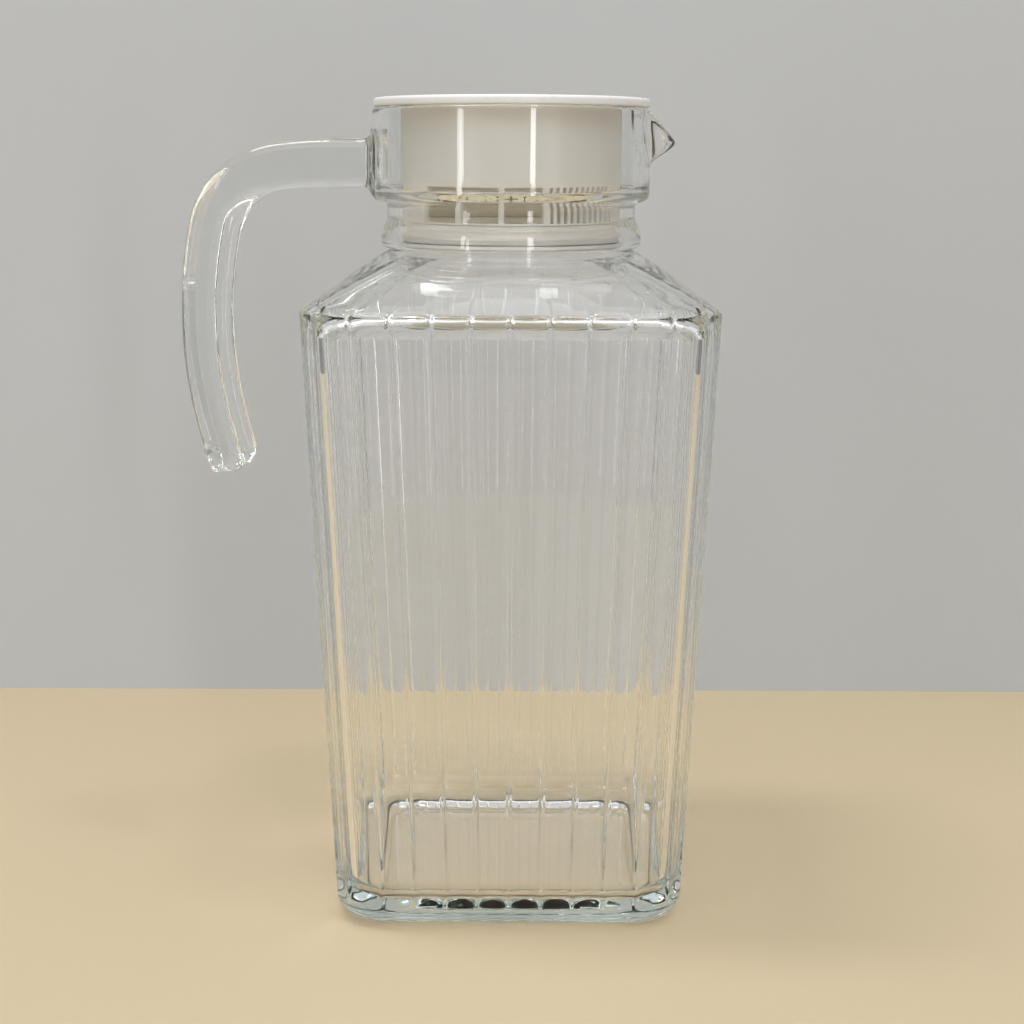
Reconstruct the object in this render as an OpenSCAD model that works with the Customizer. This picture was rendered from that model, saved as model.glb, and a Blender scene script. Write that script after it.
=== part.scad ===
/* [Glass body] */
// Width of the square body at the base
base_w = 105; // [96:1:112]
// Width of the square body at the shoulder edge
shoulder_w = 120.4; // [112:0.2:126]
// Height of the shoulder edge above the table
shoulder_z = 185.4; // [160:0.2:210]
// Radius of the rounded corners
corner_r = 15; // [12:0.5:18]
// Depth of the upright flutes
flute_depth = 0.8; // [0.3:0.1:0.9]
// Thickness of the side walls
wall = 3.4; // [2.8:0.1:4.2]
// Thickness of the glass floor
floor_t = 6.9; // [5:0.1:9]
// Radius of the heel between the side and the base
heel_r = 7; // [5:0.5:9]

/* [Neck and spout] */
// Height of the sloped shoulder
shoulder_h = 14.9; // [13:0.1:20]
// Height from the shoulder to the underside of the collar
neck_h = 13.7; // [13:0.1:16]
// Height of the collar
collar_h = 28.1; // [26:0.1:32]
// Outer radius of the bead ring
bead_r = 39.7; // [39:0.1:41]
// Outer radius of the waist above the bead
waist_r = 37.9; // [37:0.1:39]
// Outer radius of the collar
collar_r = 42.1; // [41.6:0.1:43]
// Radius of the neck bore
bore_r = 34; // [34:0.1:34.5]
// Reach of the pouring lip beyond the collar
spout_reach = 7.7; // [5:0.1:10]

/* [Handle] */
// Width of the glass bar, front to back
handle_w = 13; // [10:0.5:15]
// Height of the bar where it leaves the collar
root_h = 14.3; // [12:0.1:16]
// Thickness of the grip with its inner web
grip_t = 15.4; // [13:0.1:17]
// Thickness of the inner web
web_w = 5.4; // [4:0.1:7]

/* [Lid] */
// Radius of the lid flange
flange_r = 41.7; // [40.5:0.1:42]
// Thickness of the lid flange
flange_t = 2.6; // [2:0.1:4]
// Outer radius of the strainer plug
plug_r = 33.4; // [33:0.1:33.4]
// Length of the plug below the flange
plug_h = 41.4; // [39:0.1:42]
// Number of strainer slits
slits = 11; // [5:1:13]
// Number of pouring windows
windows = 3; // [2:1:4]

/* [Hidden] */
$fn = 96;

faces = 4;
face_flutes = 8;
corner_flutes = 2;
side_flutes = face_flutes + corner_flutes;
flute_steps = 2;
neck_z = shoulder_z + shoulder_h;
collar_z = neck_z + neck_h;
rim_z = collar_z + collar_h;
collar_wall = 2.6;

lid_gap = 0.3;
lid_z = rim_z + lid_gap;
lid_top = lid_z + flange_t;
plug_z = lid_z - plug_h;
plug_wall = 2;
band_h = 7;
window_h = 10;
window_z = plug_z + band_h + 0.4;
window_pitch = 21.8;
window_w = 11;
strainer_start = 17.1;
slit_pitch = 3.6;
slit_w = 1;
groove_z = plug_z + 1.3;
groove_h = 5.4;
groove_r = plug_r - 1.2;
seal_gap = 0.25;

function mix(a, b, t) = a + (b - a) * t;
function clamp01(t) = min(1, max(0, t));
function turned(p, a) = [p.x * cos(a) - p.y * sin(a), p.x * sin(a) + p.y * cos(a)];
// Points of a round stretch about [x, z], from angle a to angle b
function arc(x, z, r, a, b, n) =
    [for (i = [0 : n]) [x + r * cos(mix(a, b, i / n)), z + r * sin(mix(a, b, i / n))]];

// Half width of the tapering body at height z
function half_w(z) = mix(base_w, shoulder_w, z / shoulder_z) / 2;

// Ridge i of the body outline: the ends of the flutes along one face, then one on the corner
function ridge(i, w, c) =
    let (k = i % side_flutes, flat = w - c)
    turned(
        k <= face_flutes
            ? [w, mix(-flat, flat, k / face_flutes)]
            : [flat + c * cos(45), flat + c * sin(45)],
        90 * floor(i / side_flutes)
    );

// Outline of half width w and corner radius c, hollowed by depth between neighbouring ridges.
// bulge is 1 where the corners are plain round ones.
function outline(w, c, depth, bulge) = [
    for (i = [0 : faces * side_flutes - 1], j = [0 : flute_steps - 1])
        let (
            a = ridge(i, w, c),
            b = ridge(i + 1, w, c),
            t = j / flute_steps,
            out = [b.y - a.y, a.x - b.x] / norm(b - a),
            on_corner = i % side_flutes >= face_flutes ? 1 : 0,
            sag = bulge * on_corner * c * (1 - cos(22.5)) - depth
        )
        mix(a, b, t) + out * sag * (1 - pow(2 * t - 1, 2))
];

// Outline carried to height z and drawn t of the way to a circle of radius r
function ring(pts, z, t = 0, r = 0) =
    [for (p = pts) let (q = mix(p, p * r / norm(p), t)) [q.x, q.y, z]];

// Closed solid through rings of equal length, each counter-clockwise seen from the last ring.
// Each end is closed by a fan about the middle of its ring.
module loft(rings) {
    n = len(rings[0]);
    last = len(rings) - 1;
    skin = [
        for (i = [0 : last - 1], j = [0 : n - 1])
            let (a = i * n + j, b = i * n + (j + 1) % n)
            each [[a, a + n, b + n], [a, b + n, b]]
    ];
    ends = [rings[0], rings[last]];
    hubs = [for (r = ends) [for (p = r) 1 / n] * r];
    base = (last + 1) * n;
    caps = [
        for (j = [0 : n - 1])
            let (k = (j + 1) % n)
            each [[base, j, k], [base + 1, last * n + k, last * n + j]]
    ];
    polyhedron([for (r = concat(rings, [hubs])) each r], concat(skin, caps), convexity = 8);
}

// Glass of the body as one skin: up the outside from the base to the neck, over the top edge
// and down the inside to the glass floor
module body_shell() {
    edge_r = 1.8;
    throat_r = bore_r + 0.8;
    inner_heel = 8;
    inner_c = corner_r - wall * 0.6;
    roof_z = shoulder_z - 4.4;
    heel = [
        for (a = [0, 30, 60])
            let (z = heel_r * (1 - cos(a)), inset = heel_r * (1 - sin(a)))
            ring(outline(half_w(z) - inset, corner_r - inset * 0.6, flute_depth * a / 90, 0), z)
    ];
    sides = [
        for (z = [heel_r, shoulder_z - edge_r])
            ring(outline(half_w(z), corner_r, flute_depth, 0), z)
    ];
    edge = [
        for (a = [35, 70])
            let (z = shoulder_z - edge_r * (1 - sin(a)), inset = edge_r * (1 - cos(a)) * 0.6)
            ring(outline(half_w(z) - inset, corner_r, flute_depth * (1 - a / 90), 0), z)
    ];
    crown = outline(half_w(shoulder_z) - 1.6, corner_r, 0, 0);
    slope = [
        for (t = [0.06, 0.5, 1])
            ring(crown, mix(shoulder_z + 0.4, neck_z - 0.3, t), t, waist_r - 0.4)
    ];
    vault = outline(half_w(roof_z) - wall - 1.2, inner_c, 0, 1);
    roof = [
        for (t = [1, 0.5, 0])
            ring(vault, mix(roof_z, neck_z - 3.6, t), t, throat_r)
    ];
    inner_sides = [
        for (z = [roof_z - 2, floor_t + inner_heel])
            ring(outline(half_w(z) - wall, inner_c, 0, 1), z)
    ];
    bowl = [
        for (a = [60, 30, 0])
            let (z = floor_t + inner_heel * (1 - cos(a)), inset = inner_heel * (1 - sin(a)))
            ring(outline(half_w(z) - wall - inset, inner_c - inset * 0.5, 0, 1), z)
    ];
    throat = [ring(vault, neck_z - 0.3, 1, throat_r)];
    loft(concat(heel, sides, edge, slope, throat, roof, inner_sides, bowl));
}

// Outside of the neck: groove, bead, waist, collar and round rim
module neck_outer() {
    rim = 1.25;
    lower = 3;
    rotate_extrude()
        polygon(concat(
            [[0, neck_z - 2.8], [waist_r - 1.3, neck_z - 2.8], [waist_r - 1.3, neck_z]],
            arc(bead_r - 1.2, neck_z + 1.4, 1.2, -80, 0, 3),
            [[bead_r, neck_z + 4.4], [bead_r - 0.7, neck_z + 6.4]],
            [[waist_r, neck_z + 8.6], [waist_r, collar_z - 0.5], [waist_r + 0.6, collar_z]],
            arc(collar_r - lower, collar_z + lower, lower, -80, 0, 4),
            arc(collar_r - rim, rim_z - rim, rim, 0, 90, 4),
            [[0, rim_z]]
        ));
}

// Inside of the neck: straight bore, short cone and the wide mouth of the collar
module neck_inner() {
    mouth_r = collar_r - collar_wall;
    rotate_extrude()
        polygon([
            [0, neck_z - 4], [bore_r + 2.4, neck_z - 4], [bore_r, neck_z - 1.6],
            [bore_r, collar_z - 0.6],
            [bore_r + 0.9, collar_z + 0.8], [mouth_r - 0.6, collar_z + 3.6],
            [mouth_r, collar_z + 5], [mouth_r, rim_z - 0.8], [mouth_r + 0.5, rim_z - 0.2],
            [mouth_r + 0.5, rim_z + 1], [0, rim_z + 1]
        ]);
}

// Bottom, top and half width of the pouring lip at reach t, from 0 at the collar to 1 at the tip
function lip_bottom(t) = rim_z - 18 + 8.3 * pow(clamp01(t), 0.75);
function lip_top(t) = rim_z + 0.2 - 9.8 * pow(clamp01(t), 1.15);
function lip_half(t) = 10.5 * sqrt(1 - 0.95 * pow(clamp01(t), 1.4));
// One U-shaped cross-section at reach t, thinned by skin and carried up to lift above its edge
function lip_ring(t, skin, lift) =
    let (
        x = collar_r + spout_reach * t,
        half = lip_half(t) - skin,
        top = lip_top(t),
        low = min(lip_bottom(t) + skin, top - 0.5),
        u = [for (a = [180 : 15 : 360]) [x, half * cos(a), top + (top - low) * sin(a)]]
    )
    concat(u, [[x, half, top + lift], [x, -half, top + lift]]);

module spout_outer() {
    loft([for (t = [-0.4, 0.02, 0.2, 0.4, 0.6, 0.8, 0.92, 1]) lip_ring(t, 0, 0.01)]);
}

module spout_channel() {
    loft([for (t = [-0.9, 0.02, 0.2, 0.4, 0.6, 0.78]) lip_ring(t, 2.3, 4)]);
}

module glass_body() {
    color([0.80, 0.88, 0.87, 0.35])
        union() {
            body_shell();
            difference() {
                union() {
                    neck_outer();
                    spout_outer();
                }
                neck_inner();
                spout_channel();
            }
        }
}

// Next stations of the handle path after p = [x, z, heading]: a bend of radius r in n steps
function bend(p, r, turn, n) = [
    for (i = [1 : n])
        let (a = p[2], b = a + turn * i / n)
        [p[0] + r * (sin(b) - sin(a)), p[1] + r * (cos(a) - cos(b)), b]
];
function last_of(list) = list[len(list) - 1];

// Centre line of the handle: level, a first soft bend, the elbow, then the long curved grip
handle_z = rim_z - 16.4;
level = [[-48, handle_z, 180], [-55, handle_z, 180]];
soft = bend(last_of(level), 110, 8, 2);
elbow = bend(last_of(soft), 24, 70, 11);
grip = bend(last_of(elbow), 135, 29.5, 7);

// Half cross-sections as [outward, sideways] points, from the outer face to the inner face
function root_half() =
    let (u = root_h / 2, b = handle_w / 2, r = 3)
    concat(
        [[u, 0]], arc(u - r, b - r, r, 0, 90, 3), arc(r - u, b - r, r, 90, 180, 4), [[-u, 0]]
    );
function grip_half() =
    let (u = grip_t / 2, b = handle_w / 2, w = web_w / 2, r = 5, step = -1.2)
    concat(
        [[u, 0]], arc(u - r, b - r, r, 0, 90, 3),
        [[step, b], [step - 1.2, b - 1.4], [step - 1.8, w + 0.6], [1.6 - u, w], [-u, w - 1.4]],
        [[-u, 0]]
    );
// Whole cross-section, t of the way from the root's shape to the grip's
function section(t) =
    let (
        half = mix(root_half(), grip_half(), t),
        n = len(half),
        back = [for (i = [n - 2 : -1 : 1]) [half[i].x, -half[i].y]]
    )
    concat(half, back);
// Cross-section laid out at a station, scaled about its middle
function handle_ring(p, t, scale = 1) = [
    for (s = section(t))
        [p[0] + s.x * scale * sin(p[2]), s.y * scale, p[1] - s.x * scale * cos(p[2])]
];

module glass_handle() {
    tip = 6.2;
    foot = [
        for (f = [[-38, 1.2], [-42.6, 1.18], [-43.8, 1.07], [-45.4, 1.01]])
            handle_ring([f[0], handle_z, 180], 0, f[1])
    ];
    bar = [
        for (p = concat(level, soft, elbow, grip))
            handle_ring(p, clamp01((p[2] - 195) / 55))
    ];
    end = last_of(grip);
    cap = [
        for (a = [30, 55, 75, 88])
            let (reach = tip * sin(a))
            handle_ring([end[0] + reach * cos(end[2]), end[1] + reach * sin(end[2]), end[2]],
                1, cos(a) * 0.9 + 0.1)
    ];
    color([0.82, 0.90, 0.88, 0.5])
        difference() {
            loft(concat(foot, bar, cap));
            translate([0, 0, collar_z])
                cylinder(h = collar_h, r = collar_r);
        }
}

// Ring between two radii and two heights
module band(inner, outer, low, high) {
    rotate_extrude()
        translate([inner, low])
            square([outer - inner, high - low]);
}

module lid_seal() {
    sleeve_r = groove_r + 1;
    fin_r = bore_r - 0.3;
    inner = groove_r + seal_gap;
    low = groove_z + 0.3;
    high = groove_z + groove_h - 0.3;
    color("gainsboro")
        union() {
            band(inner, sleeve_r, low, high);
            for (z = [low + 0.9, high - 1.9])
                band(inner, fin_r, z, z + 1);
        }
}

module lid_cover() {
    edge = 1;
    dish_r = flange_r - 5;
    dish = 0.8;
    well_r = 26;
    well_z = lid_z - 8.2;
    pocket_r = 24;
    grip_bar = 9;
    pocket_floor = well_z + 1.8;
    spigot_r = plug_r - plug_wall - 0.3;
    color("white")
        difference() {
            union() {
                rotate_extrude()
                    polygon(concat(
                        [[0, lid_z], [flange_r - 0.4, lid_z], [flange_r, lid_z + 0.4]],
                        arc(flange_r - edge, lid_top - edge, edge, 0, 90, 4),
                        [[dish_r + 0.8, lid_top], [dish_r, lid_top - dish], [0, lid_top - dish]]
                    ));
                translate([0, 0, well_z])
                    cylinder(h = lid_z - well_z + 1, r = well_r);
                band(spigot_r - 1.8, spigot_r, lid_z - 5, lid_z + 1);
            }
            for (side = [-1, 1])
                intersection() {
                    translate([0, 0, pocket_floor])
                        cylinder(h = 20, r = pocket_r);
                    translate([-40, side > 0 ? grip_bar / 2 : -40 - grip_bar / 2, pocket_floor - 1])
                        cube([80, 40, 30]);
                }
        }
}

// Opening through the plug wall, facing angle degrees round from the front towards the spout
module plug_cut(angle, w, low, h) {
    rotate([0, 0, angle])
        translate([-w / 2, -plug_r - 2, low])
            cube([w, plug_wall + 5, h]);
}

module lid_plug() {
    inner_r = plug_r - plug_wall;
    band_r = groove_r - plug_wall;
    color([0.96, 0.95, 0.91])
        difference() {
            rotate_extrude()
                polygon([
                    [band_r, plug_z], [plug_r - 0.6, plug_z], [plug_r, plug_z + 0.6],
                    [plug_r, groove_z], [groove_r, groove_z],
                    [groove_r, groove_z + groove_h], [plug_r, groove_z + groove_h],
                    [plug_r, lid_z], [inner_r, lid_z],
                    [inner_r, window_z], [band_r, window_z - 1]
                ]);
            for (i = [0 : windows - 1])
                plug_cut(strainer_start - (i + 0.5) * window_pitch, window_w, window_z, window_h);
            for (i = [0 : slits - 1])
                plug_cut(strainer_start + (i + 0.8) * slit_pitch, slit_w, window_z, window_h);
        }
}

glass_body();
glass_handle();
lid_seal();
lid_cover();
lid_plug();
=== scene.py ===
import math

import bmesh
import bpy
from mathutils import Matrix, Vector, noise


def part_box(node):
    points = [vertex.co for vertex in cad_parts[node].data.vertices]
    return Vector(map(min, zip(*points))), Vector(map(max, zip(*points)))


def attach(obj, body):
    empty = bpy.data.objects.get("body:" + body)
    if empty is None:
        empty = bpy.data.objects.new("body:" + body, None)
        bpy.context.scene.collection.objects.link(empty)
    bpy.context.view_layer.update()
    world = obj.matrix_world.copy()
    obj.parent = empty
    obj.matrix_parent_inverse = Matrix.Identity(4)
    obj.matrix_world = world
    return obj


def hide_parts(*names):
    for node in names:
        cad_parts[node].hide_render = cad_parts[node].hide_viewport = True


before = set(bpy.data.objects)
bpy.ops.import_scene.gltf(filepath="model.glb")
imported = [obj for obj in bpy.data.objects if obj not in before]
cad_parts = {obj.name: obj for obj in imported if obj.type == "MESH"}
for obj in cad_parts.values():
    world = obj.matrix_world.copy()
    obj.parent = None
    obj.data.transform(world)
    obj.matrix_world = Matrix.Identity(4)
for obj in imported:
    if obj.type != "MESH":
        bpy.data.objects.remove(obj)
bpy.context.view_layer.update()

MM = 0.001


# ---------------------------------------------------------------- sizes, in millimetres

def node_box(node):
    """Lowest and highest corners of a CAD node, in millimetres."""
    low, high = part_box(node)
    return [v / MM for v in low], [v / MM for v in high]


BODY_LOW, BODY_HIGH = node_box("glass_body")
HANDLE_LOW, _ = node_box("glass_handle")
COVER_LOW, COVER_HIGH = node_box("lid_cover")
PLUG_LOW, PLUG_HIGH = node_box("lid_plug")
SEAL_LOW, SEAL_HIGH = node_box("lid_seal")

RIM_Z = BODY_HIGH[2]
SHOULDER_W = BODY_HIGH[1] - BODY_LOW[1]
BASE_W = 105.0
SHOULDER_Z = 185.4
NECK_Z = RIM_Z - 41.8
COLLAR_Z = RIM_Z - 28.1
CORNER_R = 15.0
FLUTE_DEPTH = 0.8
WALL = 3.4
FLOOR_T = 6.9
HEEL_R = 7.0
EDGE_R = 1.8
EDGE_TURN = 62      # degrees that the rounded shoulder edge turns through
PUSH_UP = 1.2      # how far the middle of the underside is raised off the table
UNDERSIDE = (      # share of the way out to the heel, share of the push-up
    (0.05, 1), (0.3, 0.98), (0.55, 0.9), (0.75, 0.72), (0.86, 0.4), (0.93, 0.1), (0.97, 0),
)
CROWN_SWELL = 0.03      # how far the slope from shoulder to neck bulges, as a share of its height
HEEL_STATIONS = (0, 0.006, 0.012, 0.018, 0.025, 0.035, 0.05)      # shares of the side, by the heel
FLUTE_START = 0.045      # share of the side over which the flutes grow to their full depth

BEAD_R = 39.7
WAIST_R = 37.9
COLLAR_R = 42.1
COLLAR_WALL = 2.6
BORE_R = 34.0
MOUTH_R = COLLAR_R - COLLAR_WALL

FACES = 4
FACE_FLUTES = 8
SIDE_FLUTES = FACE_FLUTES + 2
FLUTES = FACES * SIDE_FLUTES
FLUTE_STOPS = (0, 0.02, 0.04, 0.06, 0.08, 0.1, 0.13, 0.3, 0.5, 0.7, 0.87, 0.9, 0.92, 0.94, 0.96, 0.98)
RIB_SHARE = 0.12      # half width of the rounded rib between two flutes, as a share of a flute
RIB_DROP = 0.75      # share of a flute's depth that the flank of its rib takes up
CORNER_HALF_TURN = math.radians(22.5)      # half of the turn that one corner flute makes
TYPICAL_HALF_W = 57      # half width of the outline that sets the directions of all rings


def mix(a, b, t):
    return a + (b - a) * t


def mix_points(p, q, t):
    return [mix(a, b, t) for a, b in zip(p, q)]


def clamp01(t):
    return max(0.0, min(1.0, t))


def smooth(low, high, t):
    """0 below low, 1 above high and an S-shaped rise between them."""
    u = clamp01((t - low) / (high - low))
    return u * u * (3 - 2 * u)


def turned(x, y, quarter):
    """The point turned by whole quarters of a circle."""
    for _ in range(quarter % 4):
        x, y = -y, x
    return x, y


def arc(x, z, r, start, end, steps):
    """Points of a round stretch about (x, z), with angles in degrees."""
    angles = [math.radians(mix(start, end, i / steps)) for i in range(steps + 1)]
    return [(x + r * math.cos(a), z + r * math.sin(a)) for a in angles]


# ---------------------------------------------------------------- meshes

def make_object(name, points, faces, smooth_angle=None):
    """A mesh object from points in millimetres."""
    mesh = bpy.data.meshes.new(name)
    mesh.from_pydata([[c * MM for c in p] for p in points], [], faces)
    mesh.validate()
    mesh.polygons.foreach_set("use_smooth", [True] * len(mesh.polygons))
    piece = bpy.data.objects.new(name, mesh)
    bpy.context.scene.collection.objects.link(piece)
    if smooth_angle is not None:
        mesh.set_sharp_from_angle(angle=math.radians(smooth_angle))
    return piece


def loft_mesh(rings, closed_loop=False):
    """Points and faces through rings of equal length. Open ends are closed by a fan."""
    n = len(rings[0])
    points = [p for ring in rings for p in ring]
    spans = len(rings) if closed_loop else len(rings) - 1
    faces = []
    for i in range(spans):
        low = i * n
        high = ((i + 1) % len(rings)) * n
        for j in range(n):
            k = (j + 1) % n
            faces.append((low + j, low + k, high + k, high + j))
    if not closed_loop:
        for ring, base, flip in ((rings[0], 0, True), (rings[-1], (len(rings) - 1) * n, False)):
            hub = len(points)
            points.append([sum(c) / n for c in zip(*ring)])
            for j in range(n):
                k = (j + 1) % n
                faces.append((hub, base + k, base + j) if flip else (hub, base + j, base + k))
    return points, faces


def lathe_mesh(profile, segments=192):
    """A closed (radius, height) profile turned about the upright axis."""
    turns = [2 * math.pi * s / segments for s in range(segments)]
    rings = [
        [(r * math.cos(a), r * math.sin(a), z) for a in turns]
        for r, z in profile
    ]
    return loft_mesh(rings, closed_loop=True)


def apply_modifiers(piece):
    """Bake a piece's modifiers into its mesh."""
    graph = bpy.context.evaluated_depsgraph_get()
    mesh = bpy.data.meshes.new_from_object(piece.evaluated_get(graph))
    piece.modifiers.clear()
    old = piece.data
    piece.data = mesh
    mesh.name = piece.name
    bpy.data.meshes.remove(old)


# ---------------------------------------------------------------- glass body

def half_w(z):
    """Half width of the tapering body at height z."""
    return mix(BASE_W, SHOULDER_W, z / SHOULDER_Z) / 2


def ridge(i, w, c):
    """Ridge i of the body outline: the flute ends along one face, then one on the corner."""
    k = i % SIDE_FLUTES
    flat = w - c
    if k <= FACE_FLUTES:
        x, y = w, mix(-flat, flat, k / FACE_FLUTES)
    else:
        x = y = flat + c * math.sqrt(0.5)
    return turned(x, y, i // SIDE_FLUTES)


def flute_hollow(t):
    """Depth across a flute, from 0 on the crest of its rounded ribs to 1 in its shallow middle."""
    u = min(t, 1 - t)
    if u < RIB_SHARE:
        return RIB_DROP * (1 - math.cos(math.pi * u / RIB_SHARE)) / 2
    v = (u - RIB_SHARE) / (0.5 - RIB_SHARE)
    return RIB_DROP + (1 - RIB_DROP) * v * (2 - v)


def outline(w, c, depth, round_corner=0.0):
    """Outline of half width w and corner radius c, hollowed by depth between its ridges."""
    points = []
    for i in range(FLUTES):
        ax, ay = ridge(i, w, c)
        bx, by = ridge(i + 1, w, c)
        length = math.hypot(bx - ax, by - ay)
        nx, ny = (by - ay) / length, (ax - bx) / length
        on_corner = i % SIDE_FLUTES >= FACE_FLUTES
        sag = round_corner * c * (1 - math.cos(CORNER_HALF_TURN)) if on_corner else 0.0
        for t in FLUTE_STOPS:
            out = sag * (1 - (2 * t - 1) ** 2) - depth * flute_hollow(t)
            points.append((mix(ax, bx, t) + nx * out, mix(ay, by, t) + ny * out))
    return points


DIRECTIONS = [
    (x / math.hypot(x, y), y / math.hypot(x, y))
    for x, y in outline(TYPICAL_HALF_W, CORNER_R, 0, 1)
]


def at_height(points, z):
    return [(x, y, z) for x, y in points]


def toward_circle(points, r, t, z):
    """The outline drawn t of the way to a circle of radius r, at height z."""
    return [
        (mix(x, r * dx, t), mix(y, r * dy, t), z)
        for (x, y), (dx, dy) in zip(points, DIRECTIONS)
    ]


def circle_ring(r, z):
    return [(r * dx, r * dy, z) for dx, dy in DIRECTIONS]


SPOUT_HALF_ANGLE = math.radians(17)
SPOUT_START_Z = RIM_Z - 20
SPOUT_REACH = 7.7
SPOUT_DROP = 9.6


def pulled_lip(p):
    """Draw a point of the collar outwards and down where the pouring lip is pulled out of it."""
    x, y, z = p
    turn = math.atan2(y, x)
    if abs(turn) >= SPOUT_HALF_ANGLE or z <= SPOUT_START_Z:
        return p
    share = math.cos(turn / SPOUT_HALF_ANGLE * math.pi / 2) ** 2
    s = (z - SPOUT_START_Z) / (RIM_Z - SPOUT_START_Z)
    r = math.hypot(x, y)
    push = SPOUT_REACH * share * smooth(0.25, 0.97, s)
    scale = (r + push) / r
    return x * scale, y * scale, z - SPOUT_DROP * share * s


def body_outer_rings():
    rings = []
    for share, rise in UNDERSIDE:
        plan = outline((half_w(0) - HEEL_R) * share, CORNER_R * 0.7 * share, 0)
        rings.append(at_height(plan, PUSH_UP * rise))
    steps = 10
    for i in range(steps):
        a = math.radians(90 * i / steps)
        z = HEEL_R * (1 - math.cos(a))
        inset = HEEL_R * (1 - math.sin(a))
        rings.append(at_height(outline(half_w(z) - inset, CORNER_R - inset * 0.6, 0, 1), z))
    top = SHOULDER_Z - EDGE_R
    for t in [*HEEL_STATIONS, *(i / 16 for i in range(1, 17))]:
        z = mix(HEEL_R, top, t)
        grown = smooth(0, FLUTE_START, t)
        rings.append(at_height(outline(half_w(z), CORNER_R, FLUTE_DEPTH * grown, 1 - grown), z))
    steps = 6
    for i in range(1, steps + 1):
        a = math.radians(EDGE_TURN * i / steps)
        z = top + EDGE_R * math.sin(a)
        inset = EDGE_R * (1 - math.cos(a))
        depth = FLUTE_DEPTH * (1 - 0.75 * i / steps)
        rings.append(at_height(outline(half_w(top) - inset, CORNER_R, depth), z))
    crown_inset = EDGE_R * (1 - math.cos(math.radians(EDGE_TURN)))
    crown_z = top + EDGE_R * math.sin(math.radians(EDGE_TURN))
    steps = 18
    for i in range(1, steps + 1):
        t = i / steps
        rise = t + CROWN_SWELL * math.sin(math.pi * t)
        fade = smooth(0, 0.3, t)
        crown = outline(half_w(top) - crown_inset, CORNER_R, FLUTE_DEPTH * 0.25 * (1 - fade), fade)
        rings.append(toward_circle(crown, WAIST_R - 1.1, t, mix(crown_z, NECK_Z - 0.1, rise)))
    return rings


def neck_profile():
    """Radius and height up the outside of the neck, over the rim and down the inside."""
    rim = 1.25
    lower = 3.0
    outside = [(WAIST_R - 1.35, NECK_Z + 0.15)]
    outside += arc(BEAD_R - 1.2, NECK_Z + 1.5, 1.2, -80, 10, 6)
    outside += [(BEAD_R - 0.02, NECK_Z + 3.4), (BEAD_R - 0.25, NECK_Z + 4.9)]
    outside += [(BEAD_R - 0.75, NECK_Z + 6.3), (BEAD_R - 1.35, NECK_Z + 7.6)]
    outside += [(WAIST_R + 0.1, NECK_Z + 8.7), (WAIST_R, NECK_Z + 10), (WAIST_R, COLLAR_Z - 1.6)]
    outside += [(WAIST_R + 0.12, COLLAR_Z - 0.8), (WAIST_R + 0.5, COLLAR_Z - 0.2)]
    outside += arc(COLLAR_R - lower, COLLAR_Z + lower, lower, -78, 0, 8)
    outside += [(COLLAR_R, mix(COLLAR_Z + lower, RIM_Z - rim, t)) for t in (0.12, 0.25, 0.35, 0.45)]
    outside += [(COLLAR_R, mix(COLLAR_Z + lower, RIM_Z - rim, t / 20)) for t in range(11, 20)]
    top = arc(COLLAR_R - rim, RIM_Z - rim, rim, 0, 90, 5)
    top += arc(MOUTH_R + rim, RIM_Z - rim, rim, 95, 180, 5)
    mouth_low = COLLAR_Z + 5
    inside = [(MOUTH_R, mix(RIM_Z - rim, mouth_low, t / 16)) for t in range(1, 16)]
    inside += [(MOUTH_R - 0.1, mouth_low - 0.3), (MOUTH_R - 0.5, COLLAR_Z + 3.7)]
    seat_high, seat_low = (MOUTH_R - 1.0, COLLAR_Z + 3.1), (BORE_R + 1.4, COLLAR_Z + 1.0)
    inside += [tuple(mix_points(seat_high, seat_low, t)) for t in (0, 0.5, 1)]
    inside += [(BORE_R + 0.7, COLLAR_Z + 0.35), (BORE_R + 0.15, COLLAR_Z - 0.5)]
    inside += [(BORE_R, mix(COLLAR_Z - 1.2, NECK_Z - 0.8, t / 6)) for t in range(7)]
    inside += [(BORE_R + 0.2, NECK_Z - 1.7), (BORE_R + 0.8, NECK_Z - 2.7)]
    return outside + top + inside


def body_inner_rings():
    rings = []
    inner_c = CORNER_R - WALL * 0.6
    bend, turn = 9.0, 52.0
    spring_z = SHOULDER_Z - 8.5
    roof_z = spring_z + bend * math.sin(math.radians(turn))
    spring_w = half_w(spring_z) - WALL
    vault_inset = bend * (1 - math.cos(math.radians(turn)))
    vault = outline(spring_w - vault_inset, inner_c, 0, 1)
    steps = 14
    for i in range(steps + 1):
        t = 1 - i / steps
        rise = t + CROWN_SWELL * math.sin(math.pi * t)
        rings.append(toward_circle(vault, BORE_R + 1.4, t, mix(roof_z, NECK_Z - 3.4, rise)))
    steps = 7
    for i in range(steps - 1, 0, -1):
        a = math.radians(turn * i / steps)
        w = spring_w - bend * (1 - math.cos(a))
        rings.append(at_height(outline(w, inner_c, 0, 1), spring_z + bend * math.sin(a)))
    heel = 8.0
    steps = 16
    for i in range(steps + 1):
        z = mix(spring_z, FLOOR_T + heel, i / steps)
        rings.append(at_height(outline(half_w(z) - WALL, inner_c, 0, 1), z))
    steps = 10
    for i in range(steps - 1, -1, -1):
        a = math.radians(90 * i / steps)
        z = FLOOR_T + heel * (1 - math.cos(a))
        inset = heel * (1 - math.sin(a))
        rings.append(at_height(outline(half_w(z) - WALL - inset, inner_c - inset * 0.6, 0, 1), z))
    floor_w = half_w(FLOOR_T) - WALL - heel
    for share in (0.85, 0.6, 0.3, 0.05):
        rings.append(at_height(outline(floor_w * share, (inner_c - heel * 0.6) * share, 0, 1), FLOOR_T))
    return rings


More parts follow.
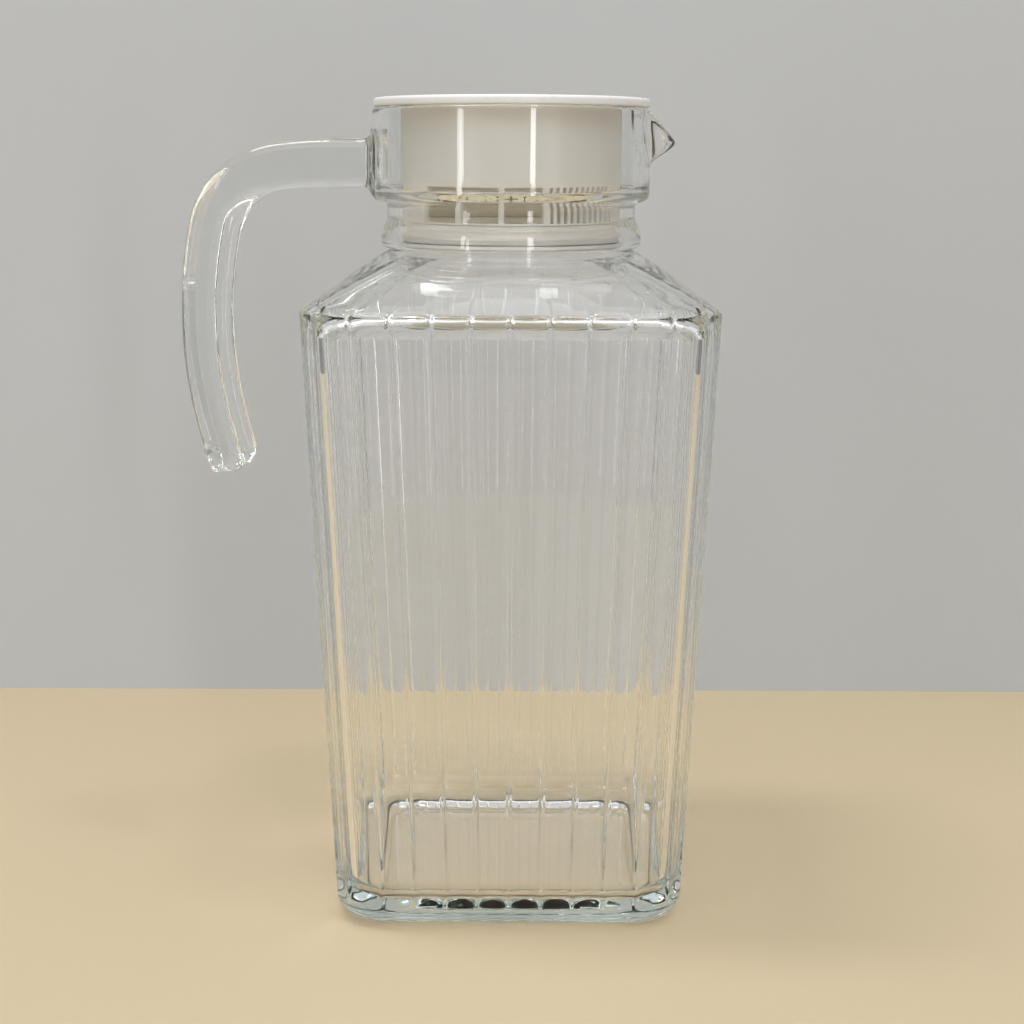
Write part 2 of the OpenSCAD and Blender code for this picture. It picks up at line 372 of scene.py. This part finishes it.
def build_glass_body():
    neck = [[pulled_lip(p) for p in circle_ring(r, z)] for r, z in neck_profile()]
    rings = body_outer_rings() + neck + body_inner_rings()
    return make_object("glass_jug_body", *loft_mesh(rings))


# ---------------------------------------------------------------- glass handle

HANDLE_W = 13.0
ROOT_H = 14.3
GRIP_T = 15.4
WEB_W = 5.4
HANDLE_Z = RIM_Z - 16.4
TIP = 6.2
TIP_SEED = 14      # sets the lumps of the tip, so that they come out the same every time
PUDDLE = (      # distance out from the collar, then how much taller and wider than the bar
    (0.0, 1.38, 1.75), (0.2, 1.42, 1.8), (0.45, 1.40, 1.75), (0.6, 1.33, 1.55), (0.75, 1.26, 1.3),
    (1.0, 1.17, 1.16), (1.5, 1.09, 1.07), (2.4, 1.03, 1.02), (3.4, 1.0, 1.0),
)
PUDDLE_SAG = 5      # how far the puddle's lower half runs down, for each unit of extra height


def bend_stations(start, r, turn, steps):
    """Stations (x, z, heading) round a bend of radius r, after the start station."""
    x, z, a = start
    stations = []
    for i in range(1, steps + 1):
        b = a + turn * i / steps
        ra, rb = math.radians(a), math.radians(b)
        stations.append((
            x + r * (math.sin(rb) - math.sin(ra)),
            z + r * (math.cos(ra) - math.cos(rb)),
            b,
        ))
    return stations


def handle_path():
    level = [(x, HANDLE_Z, 180) for x in (-47, -49, -51, -53, -55)]
    soft = bend_stations(level[-1], 110, 8, 8)
    elbow = bend_stations(soft[-1], 24, 70, 30)
    grip = bend_stations(elbow[-1], 135, 29.5, 34)
    return level + soft + elbow + grip


def root_half():
    """Half of the cross-section near the collar, as (outward, sideways) points."""
    u, b, r = ROOT_H / 2, HANDLE_W / 2, 3.0
    return (
        [(u, 0), (u, (b - r) * 0.5)] + arc(u - r, b - r, r, 0, 90, 7)
        + [(mix(u - r, r - u, t), b) for t in (0.15, 0.5, 0.85)]
        + arc(r - u, b - r, r, 90, 180, 8) + [(-u, (b - r) * 0.5), (-u, 0)]
    )


def inner_web(step, shoulder):
    """From the thick part's inner corner down to the web and round the web's edge."""
    u, w = GRIP_T / 2, WEB_W / 2
    corner = arc(step + shoulder, HANDLE_W / 2 - shoulder, shoulder, 90, 180, 3)
    foot = arc(step - 0.9, w + 0.9, 0.9, 0, -90, 2)
    return corner + foot + arc(w - u, 0, w, 90, 180, 5)


def grip_half(back):
    """Half of the grip's cross-section: a square front, or a back with bevelled corners."""
    u, b, step = GRIP_T / 2, HANDLE_W / 2, -1.2
    if not back:
        r = 1.5
        return (
            [(u, 0), (u, (b - r) * 0.5)] + arc(u - r, b - r, r, 0, 90, 7)
            + [(mix(u - r, step + 1, t), b) for t in (0.3, 0.6)] + inner_web(step, 0.7)
        )
    bevel = 3.5
    slope = [(mix(u, u - bevel, t), mix(b - bevel, b, t)) for t in (0.02, 0.1, 0.35, 0.65, 0.9, 0.98)]
    return (
        [(u, 0), (u, (b - bevel) * 0.5), (u, b - bevel - 0.2)] + slope + [(u - bevel - 0.3, b)]
        + [(mix(u - bevel, step + 1.8, t), b) for t in (0.4, 0.8)] + inner_web(step, 1.6)
    )


def section(t):
    """Whole cross-section, t of the way from the root's shape to the grip's."""
    back = [mix_points(p, q, t) for p, q in zip(root_half(), grip_half(True))]
    front = [mix_points(p, q, t) for p, q in zip(root_half(), grip_half(False))]
    return back + [(u, -v) for u, v in front[-2:0:-1]]


def handle_ring(station, t, scale=1.0, spread=None):
    x, z, heading = station
    a = math.radians(heading)
    wide = scale if spread is None else spread
    return [
        (x + u * scale * math.sin(a), v * wide, z - u * scale * math.cos(a))
        for u, v in section(t)
    ]


def collar_outside(z):
    """Radius of the outside of the collar at height z, a hair under its surface."""
    lower = 3.0
    if z >= COLLAR_Z + lower:
        return COLLAR_R - 0.12
    drop = min(lower, COLLAR_Z + lower - z)
    return COLLAR_R - lower + math.sqrt(lower * lower - drop * drop) - 0.12


def foot_rings():
    """The puddle of glass where the bar was pressed against the hot collar."""
    rings = []
    for out, tall, wide in PUDDLE:
        ring = []
        for x, y, z in handle_ring((-COLLAR_R, HANDLE_Z, 180), 0, tall, wide):
            low = clamp01((HANDLE_Z - z) / ROOT_H)
            z -= (tall - 1) * PUDDLE_SAG * low * low
            uneven = noise.noise(Vector((x, y, z)) * 0.35) * min(out, 0.45) * 0.8
            r = collar_outside(z) + out + uneven
            ring.append((-math.sqrt(max(r * r - y * y, 1)), y, z))
        rings.append(ring)
    return rings


def tip_rings():
    end = handle_path()[-1]
    heading = math.radians(end[2])
    rings = []
    for a in range(5, 90, 6):
        turn = math.radians(a)
        reach = TIP * math.sin(turn)
        station = (end[0] + reach * math.cos(heading), end[1] + reach * math.sin(heading), end[2])
        rings.append(handle_ring(station, 1, math.cos(turn) ** 0.8 * 0.93 + 0.07))
    return rings


def fire_polished(points):
    """Small lumps over the sheared end of the bar and the faint waves of drawn glass."""
    noise.seed_set(TIP_SEED)
    tip_z = HANDLE_LOW[2]
    moved = []
    for x, y, z in points:
        near_tip = 1 - smooth(tip_z + 4, tip_z + 10, z)
        lump = noise.noise_vector(Vector((x, y, z)) * 0.4) * 1.2 * near_tip
        lump += noise.noise_vector(Vector((x, y, z)) * 0.95) * 0.5 * near_tip
        wave = noise.noise_vector(Vector((x, y, z)) * 0.06) * 0.12 * smooth(46, 56, -x)
        offset = lump + wave
        moved.append((x + offset.x, y + offset.y, max(z + offset.z, tip_z + 0.05)))
    return moved


def build_glass_handle():
    bar = [
        handle_ring(s, smooth(0, 1, clamp01((s[2] - 195) / 55)))
        for s in handle_path()
    ]
    rings = foot_rings() + bar + tip_rings()
    points, faces = loft_mesh(rings)
    return make_object("glass_hook_handle", fire_polished(points), faces)


# ---------------------------------------------------------------- lid

LID_Z = PLUG_HIGH[2]
LID_TOP = COVER_HIGH[2]
FLANGE_R = COVER_HIGH[0]
PLUG_R = PLUG_HIGH[0]
PLUG_Z = PLUG_LOW[2]
PLUG_WALL = 2.0
GROOVE_Z = PLUG_Z + 1.3
GROOVE_H = 5.4
GROOVE_R = PLUG_R - 1.2
WINDOW_Z = PLUG_Z + 7.4
WINDOW_H = 10.0
WINDOW_W = 11.0
WINDOWS = 3
WINDOW_PITCH = 21.8
STRAINER_START = 17.1
SLITS = 11
SLIT_PITCH = 3.6
SLIT_W = 1.0
GRID_STEP = 2.2      # degrees between the plug's columns, about
SHARP_ANGLE = 40      # degrees between faces above which a lid edge is drawn sharp


def build_lid_cover():
    """Flange disc with a rolled edge, shallow dish, and two pockets either side of a grip bar."""
    edge = 1.0
    dish_r = FLANGE_R - 5
    dish = 0.8
    well_r, well_z = 26.0, COVER_LOW[2]
    spigot_r = PLUG_R - PLUG_WALL - 0.3
    profile = [(0.01, well_z)] + arc(well_r - 0.8, well_z + 0.8, 0.8, -90, 0, 4) + [(well_r, LID_Z)]
    profile += [(spigot_r - 1.8, LID_Z), (spigot_r - 1.8, LID_Z - 5), (spigot_r - 0.5, LID_Z - 5)]
    profile += [(spigot_r, LID_Z - 4.4), (spigot_r, LID_Z)]
    profile += arc(FLANGE_R - 0.5, LID_Z + 0.5, 0.5, -90, 0, 3)
    profile += arc(FLANGE_R - edge, LID_TOP - edge, edge, 0, 90, 6)
    profile += [(mix(FLANGE_R - edge, dish_r + 1.2, t), LID_TOP) for t in (0.5, 1.0)]
    profile += arc(dish_r + 1.2, LID_TOP - 0.8, 0.8, 105, 165, 3)
    profile += [(dish_r, LID_TOP - dish), (27, LID_TOP - dish), (0.01, LID_TOP - dish)]
    cover = make_object("lid_cover_disc", *lathe_mesh(profile))
    for side in (-1, 1):
        cutter = pocket_cutter(side, well_z + 1.8)
        cut = cover.modifiers.new("pocket", "BOOLEAN")
        cut.operation = "DIFFERENCE"
        cut.solver = "EXACT"
        cut.object = cutter
        apply_modifiers(cover)
        bpy.data.objects.remove(cutter)
    soften = cover.modifiers.new("soft_edges", "BEVEL")
    soften.limit_method = "ANGLE"
    soften.angle_limit = math.radians(50)
    soften.width = 0.45 * MM
    soften.segments = 3
    soften.use_clamp_overlap = True
    apply_modifiers(cover)
    cover.data.set_sharp_from_angle(angle=math.radians(SHARP_ANGLE))
    return cover


def pocket_cutter(side, floor_z):
    """A D-shaped block on one side of the grip bar."""
    r, half_bar, corner = 24.0, 4.5, 3.0
    corner_x = math.sqrt((r - corner) ** 2 - (half_bar + corner) ** 2)
    reach = math.degrees(math.atan2(half_bar + corner, corner_x))
    curve = arc(0, 0, r, reach, 180 - reach, 40)
    flat = arc(-corner_x, half_bar + corner, corner, 180 - reach, 270, 9)[1:]
    flat += [(-x, y) for x, y in reversed(flat)]
    plan = [(x, y * side) for x, y in curve + flat]
    if side < 0:
        plan.reverse()
    rings = [[(x, y, z) for x, y in plan] for z in (floor_z, LID_TOP + 5)]
    return make_object("pocket", *loft_mesh(rings))


def window_spans():
    """Angles from one side of each opening to the other, in degrees from the front."""
    spans = []
    half = math.degrees(math.asin(WINDOW_W / 2 / PLUG_R))
    for i in range(WINDOWS):
        middle = STRAINER_START - (i + 0.5) * WINDOW_PITCH
        spans.append((middle - half, middle + half))
    half = math.degrees(math.asin(SLIT_W / 2 / PLUG_R))
    for i in range(SLITS):
        middle = STRAINER_START + (i + 0.8) * SLIT_PITCH
        spans.append((middle - half, middle + half))
    return sorted(spans)


def plug_angles(spans):
    """Every angle of the plug's grid: the edges of the openings, with even steps between."""
    edges = sorted({a for span in spans for a in span})
    stops = edges + [edges[0] + 360]
    angles = []
    for a, b in zip(stops, stops[1:]):
        steps = max(1, round((b - a) / GRID_STEP))
        angles += [mix(a, b, i / steps) for i in range(steps)]
    return angles


def build_lid_plug():
    """The plug's wall as a grid, left open at its windows and slits."""
    spans = window_spans()
    angles = plug_angles(spans)
    inner_r = PLUG_R - PLUG_WALL
    band_r = GROOVE_R - PLUG_WALL
    window_top = WINDOW_Z + WINDOW_H
    rows = [
        (PLUG_Z, PLUG_R - 0.6, band_r), (PLUG_Z + 0.6, PLUG_R, band_r),
        (GROOVE_Z, PLUG_R, band_r), (GROOVE_Z, GROOVE_R, band_r),
        (GROOVE_Z + GROOVE_H, GROOVE_R, band_r), (GROOVE_Z + GROOVE_H, PLUG_R, band_r),
        (WINDOW_Z - 0.4, PLUG_R, band_r), (WINDOW_Z, PLUG_R, inner_r),
        (mix(WINDOW_Z, window_top, 0.5), PLUG_R, inner_r), (window_top, PLUG_R, inner_r),
        (window_top + 4, PLUG_R, inner_r), (mix(window_top, LID_Z, 0.5), PLUG_R, inner_r),
        (LID_Z - 4, PLUG_R, inner_r), (LID_Z - 0.02, PLUG_R, inner_r),
    ]
    columns = len(angles)
    points = []
    for z, outer, inner in rows:
        for r in (outer, inner):
            for a in angles:
                turn = math.radians(a - 90)
                points.append((r * math.cos(turn), r * math.sin(turn), z))

    outside, inside = 0, 1
    faces = []

    def add_face(*corners):
        """One face through (row, side, column) points of the grid."""
        faces.append(tuple(
            (row * 2 + side) * columns + column % columns for row, side, column in corners))

    def is_open(row, column):
        if not 0 <= row < len(rows) - 1:
            return True
        low, high = rows[row][0], rows[row + 1][0]
        if low < WINDOW_Z - 1e-6 or high > window_top + 1e-6:
            return False
        middle = angles[column % columns] + 0.01
        return any(a < middle < b or a < middle - 360 < b for a, b in spans)

    for row in range(len(rows) - 1):
        up = row + 1
        for c in range(columns):
            n = c + 1
            if is_open(row, c):
                continue
            add_face((row, outside, c), (row, outside, n), (up, outside, n), (up, outside, c))
            add_face((row, inside, n), (row, inside, c), (up, inside, c), (up, inside, n))
            if is_open(row - 1, c):
                add_face((row, inside, c), (row, inside, n), (row, outside, n), (row, outside, c))
            if is_open(row + 1, c):
                add_face((up, outside, c), (up, outside, n), (up, inside, n), (up, inside, c))
            if is_open(row, c - 1):
                add_face((row, outside, c), (up, outside, c), (up, inside, c), (row, inside, c))
            if is_open(row, c + 1):
                add_face((row, outside, n), (row, inside, n), (up, inside, n), (up, outside, n))
    plug = make_object("lid_strainer_plug", points, faces)
    clean(plug)
    soften = plug.modifiers.new("soft_edges", "BEVEL")
    soften.limit_method = "ANGLE"
    soften.angle_limit = math.radians(55)
    soften.width = 0.22 * MM
    soften.segments = 2
    apply_modifiers(plug)
    plug.data.set_sharp_from_angle(angle=math.radians(SHARP_ANGLE))
    return plug


def clean(piece):
    """Merge doubled points, drop loose ones and turn the faces outwards."""
    bm = bmesh.new()
    bm.from_mesh(piece.data)
    bmesh.ops.remove_doubles(bm, verts=bm.verts, dist=1e-6)
    bmesh.ops.delete(bm, geom=[v for v in bm.verts if not v.link_faces], context="VERTS")
    bmesh.ops.recalc_face_normals(bm, faces=bm.faces)
    bm.to_mesh(piece.data)
    bm.free()


def build_lid_seal():
    """Soft ring with two round-nosed fins."""
    inner = GROOVE_R + 0.25
    sleeve_r = GROOVE_R + 1.0
    fin_r = SEAL_HIGH[0]
    low, high = SEAL_LOW[2], SEAL_HIGH[2]
    profile = [(inner, low + 0.2), (inner + 0.2, low), (sleeve_r - 0.2, low), (sleeve_r, low + 0.2)]
    for z in (low + 1.4, high - 1.4):
        profile += [(sleeve_r, z - 0.6), (sleeve_r + 0.1, z - 0.5)]
        profile += arc(fin_r - 0.35, z, 0.35, -80, 80, 6)
        profile += [(sleeve_r + 0.1, z + 0.5), (sleeve_r, z + 0.6)]
    profile += [(sleeve_r, high - 0.2), (sleeve_r - 0.2, high)]
    profile += [(inner + 0.2, high), (inner, high - 0.2)]
    return make_object("lid_seal_ring", *lathe_mesh(profile), smooth_angle=50)


# ---------------------------------------------------------------- materials

GLASS_IOR = 1.51
PLASTIC_IOR = 1.49
GLASS_TINT = (0.62, 0.80, 0.74)
GLASS_DENSITY = 5.0
RAMP_START = 0.35
RAMP_END = 0.65


def new_material(name):
    material = bpy.data.materials.new(name)
    material.use_nodes = True
    nodes = material.node_tree.nodes
    return material, nodes, material.node_tree.links, nodes["Principled BSDF"]


def object_noise(nodes, links, scale, detail=3.0, stretch=(1, 1, 1)):
    """Noise in the object's own space, drawn out by stretch."""
    place = nodes.new("ShaderNodeTexCoord")
    mapping = nodes.new("ShaderNodeMapping")
    mapping.inputs["Scale"].default_value = stretch
    texture = nodes.new("ShaderNodeTexNoise")
    texture.inputs["Scale"].default_value = scale
    texture.inputs["Detail"].default_value = detail
    links.new(place.outputs["Object"], mapping.inputs["Vector"])
    links.new(mapping.outputs["Vector"], texture.inputs["Vector"])
    return texture.outputs["Fac"]


def ramp(nodes, links, source, low, high):
    """Map the middle of a texture's range to two colours."""
    node = nodes.new("ShaderNodeValToRGB")
    node.color_ramp.elements[0].position = RAMP_START
    node.color_ramp.elements[1].position = RAMP_END
    node.color_ramp.elements[0].color = (*low, 1)
    node.color_ramp.elements[1].color = (*high, 1)
    links.new(source, node.inputs["Fac"])
    return node.outputs["Color"]


def add_bump(nodes, links, shader, height, strength, distance):
    bump = nodes.new("ShaderNodeBump")
    bump.inputs["Strength"].default_value = strength
    bump.inputs["Distance"].default_value = distance
    links.new(height, bump.inputs["Height"])
    links.new(bump.outputs["Normal"], shader.inputs["Normal"])


def glass_material(name, waves, wave_scale):
    """Clear glass with a faint cast in its thickness and the soft waves of pressed glass."""
    material, nodes, links, shader = new_material(name)
    shader.inputs["Base Color"].default_value = (1, 1, 1, 1)
    shader.inputs["Roughness"].default_value = 0.0
    shader.inputs["IOR"].default_value = GLASS_IOR
    shader.inputs["Transmission Weight"].default_value = 1.0
    absorption = nodes.new("ShaderNodeVolumeAbsorption")
    absorption.inputs["Color"].default_value = (*GLASS_TINT, 1)
    absorption.inputs["Density"].default_value = GLASS_DENSITY
    links.new(absorption.outputs["Volume"], nodes["Material Output"].inputs["Volume"])
    height = object_noise(nodes, links, wave_scale, 2.0, (1, 1, 0.45))
    add_bump(nodes, links, shader, height, 1.0, waves)
    return material


def plastic_material(name, light, dark, roughness, subsurface, grain):
    """Moulded plastic: faint mottling, uneven sheen and a fine grain."""
    material, nodes, links, shader = new_material(name)
    mottle = object_noise(nodes, links, 60, 4.0, (1, 1, 0.3))
    links.new(ramp(nodes, links, mottle, dark, light), shader.inputs["Base Color"])
    sheen = object_noise(nodes, links, 240, 3.0)
    low = (roughness - 0.05,) * 3
    high = (roughness + 0.08,) * 3
    links.new(ramp(nodes, links, sheen, low, high), shader.inputs["Roughness"])
    shader.inputs["IOR"].default_value = PLASTIC_IOR
    shader.inputs["Subsurface Weight"].default_value = subsurface
    shader.inputs["Subsurface Radius"].default_value = (0.004, 0.0035, 0.003)
    fine = object_noise(nodes, links, 1800, 2.0)
    add_bump(nodes, links, shader, fine, 0.25, grain)
    return material


def dress(piece, material, body, node):
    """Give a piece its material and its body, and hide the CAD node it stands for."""
    piece.data.materials.clear()
    piece.data.materials.append(material)
    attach(piece, body)
    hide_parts(node)


# ---------------------------------------------------------------- the object

clear_glass = glass_material("clear_glass", waves=0.00012, wave_scale=28)
handle_glass = glass_material("handle_glass", waves=0.00010, wave_scale=40)
cover_plastic = plastic_material(
    "cover_plastic", light=(0.82, 0.82, 0.81), dark=(0.78, 0.78, 0.77),
    roughness=0.32, subsurface=0.1, grain=0.00004)
plug_plastic = plastic_material(
    "plug_plastic", light=(0.75, 0.735, 0.69), dark=(0.71, 0.695, 0.65),
    roughness=0.42, subsurface=0.1, grain=0.00005)
seal_silicone = plastic_material(
    "seal_silicone", light=(0.74, 0.73, 0.69), dark=(0.70, 0.69, 0.65),
    roughness=0.5, subsurface=0.35, grain=0.00003)

dress(build_glass_body(), clear_glass, "jug", "glass_body")
dress(build_glass_handle(), handle_glass, "jug", "glass_handle")
dress(build_lid_seal(), seal_silicone, "seal", "lid_seal")
dress(build_lid_cover(), cover_plastic, "lid", "lid_cover")
dress(build_lid_plug(), plug_plastic, "lid", "lid_plug")


# ---------------------------------------------------------------- studio

CAMERA_SIDE = 0.0006
CAMERA_DISTANCE = 0.5476
CAMERA_HEIGHT = 0.2279
CAMERA_PITCH = math.radians(11.39)
CAMERA_ROLL = math.radians(0.22)
SENSOR = 36.0
FOCAL_SHARE = 1.7236328125      # focal length over the width of the frame
WALL_Y = 0.191
WALL_HALF_WIDTH = 0.42
WALL_TOP = 1.2
FLOOR_HALF_WIDTH = 1.0
WORLD_BRIGHT = 0.8
WORLD_DIM = 0.2
WORLD_COLOUR = (0.95, 0.97, 1.0)
FLOOR_COLOUR = (0.56, 0.455, 0.295)
WALL_COLOUR = (0.53, 0.545, 0.56)
LAMPS = (      # name, place, target, size, watts, colour
    ("ceiling_panel", (0, -0.1, 1.7), (0, 0, 0), (1.7, 1.3), 9, (1, 1, 1)),
    ("front_panel", (0.1, -1.7, 1.25), (0, 0, 0.1), (1.6, 0.9), 4, (1, 1, 1)),
    ("strip_left", (-0.95, -1.05, 0.35), (0, 0, 0.12), (0.10, 0.9), 1.9, (1, 1, 1)),
    ("strip_right", (0.42, -1.35, 0.35), (0, 0, 0.12), (0.10, 0.9), 1.9, (1, 1, 1)),
    ("lamp_left", (-0.40, 0.02, 1.35), (0, 0, 0.15), (0.2, 0.46), 4.5, (1.0, 0.99, 0.97)),
    ("lamp_right", (0.26, -0.28, 1.35), (0, 0, 0.15), (0.14, 0.12), 1.4, (0.98, 0.99, 1.0)),
)


def plain_material(name, colour, roughness):
    material, nodes, links, shader = new_material(name)
    shader.inputs["Base Color"].default_value = (*colour, 1)
    shader.inputs["Roughness"].default_value = roughness
    return material, nodes, links, shader


def stage_plane(name, corners, material):
    mesh = bpy.data.meshes.new(name)
    mesh.from_pydata(corners, [], [(0, 1, 2, 3)])
    plane = bpy.data.objects.new(name, mesh)
    bpy.context.scene.collection.objects.link(plane)
    mesh.materials.append(material)


def build_floor():
    material, _, _, _ = plain_material("pale_floor", FLOOR_COLOUR, 0.5)
    half = FLOOR_HALF_WIDTH
    corners = [(-half, -half, 0), (half, -half, 0), (half, half, 0), (-half, half, 0)]
    stage_plane("studio_floor", corners, material)


def build_backdrop():
    """A pale wall behind the jug that can be seen, and stops light, only from its front."""
    material, nodes, links, shader = plain_material("pale_wall", WALL_COLOUR, 0.9)
    facing = nodes.new("ShaderNodeNewGeometry")
    clear = nodes.new("ShaderNodeBsdfTransparent")
    choose = nodes.new("ShaderNodeMixShader")
    links.new(facing.outputs["Backfacing"], choose.inputs["Fac"])
    links.new(shader.outputs["BSDF"], choose.inputs[1])
    links.new(clear.outputs["BSDF"], choose.inputs[2])
    links.new(choose.outputs["Shader"], nodes["Material Output"].inputs["Surface"])
    half, top = WALL_HALF_WIDTH, WALL_TOP
    corners = [(-half, WALL_Y, 0), (half, WALL_Y, 0), (half, WALL_Y, top), (-half, WALL_Y, top)]
    stage_plane("studio_wall", corners, material)


def add_light(name, place, target, size, power, colour):
    light = bpy.data.lights.new(name, "AREA")
    light.shape = "RECTANGLE"
    light.size, light.size_y = size
    light.energy = power
    light.color = colour
    lamp = bpy.data.objects.new(name, light)
    lamp.location = place
    lamp.rotation_euler = (Vector(target) - Vector(place)).to_track_quat("-Z", "Y").to_euler()
    lamp.visible_camera = False
    bpy.context.scene.collection.objects.link(lamp)


def build_world():
    """Soft light from all round, dimmer low down to either side of the jug and behind the camera."""
    world = bpy.data.worlds.new("soft_room")
    bpy.context.scene.world = world
    world.use_nodes = True
    nodes, links = world.node_tree.nodes, world.node_tree.links

    def eased(source, low, high, start, end):
        node = nodes.new("ShaderNodeMapRange")
        node.interpolation_type = "SMOOTHSTEP"
        node.inputs["From Min"].default_value = low
        node.inputs["From Max"].default_value = high
        node.inputs["To Min"].default_value = start
        node.inputs["To Max"].default_value = end
        links.new(source, node.inputs["Value"])
        return node.outputs["Result"]

    def combined(operation, a, b=None):
        node = nodes.new("ShaderNodeMath")
        node.operation = operation
        links.new(a, node.inputs[0])
        if b is not None:
            links.new(b, node.inputs[1])
        return node.outputs["Value"]

    place = nodes.new("ShaderNodeTexCoord")
    split = nodes.new("ShaderNodeSeparateXYZ")
    links.new(place.outputs["Generated"], split.inputs["Vector"])
    sideways = eased(combined("ABSOLUTE", split.outputs["X"]), 0.45, 0.8, 0, 1)
    low_down = eased(split.outputs["Z"], 0.2, 0.55, 1, 0)
    behind_camera = eased(split.outputs["Y"], -0.93, -0.75, 0.75, 0)
    dim = combined("MULTIPLY", combined("MAXIMUM", sideways, behind_camera), low_down)
    links.new(eased(dim, 0, 1, WORLD_BRIGHT, WORLD_DIM), nodes["Background"].inputs["Strength"])
    nodes["Background"].inputs["Color"].default_value = (*WORLD_COLOUR, 1)


def build_camera():
    camera = bpy.data.cameras.new("camera")
    camera.sensor_width = SENSOR
    camera.lens = SENSOR * FOCAL_SHARE
    camera.clip_start = 0.01
    eye = bpy.data.objects.new("camera", camera)
    eye.location = (CAMERA_SIDE, -CAMERA_DISTANCE, CAMERA_HEIGHT)
    eye.rotation_mode = "XYZ"
    eye.rotation_euler = (math.pi / 2 - CAMERA_PITCH, 0, 0)
    eye.rotation_euler.rotate_axis("Z", CAMERA_ROLL)
    bpy.context.scene.collection.objects.link(eye)
    bpy.context.scene.camera = eye


build_camera()
build_floor()
build_backdrop()
build_world()
for lamp in LAMPS:
    add_light(*lamp)
bpy.context.scene.view_settings.view_transform = "Standard"
paths = bpy.context.scene.cycles
paths.max_bounces = 32
paths.glossy_bounces = 16
paths.transmission_bounces = 32
paths.blur_glossy = 0.0
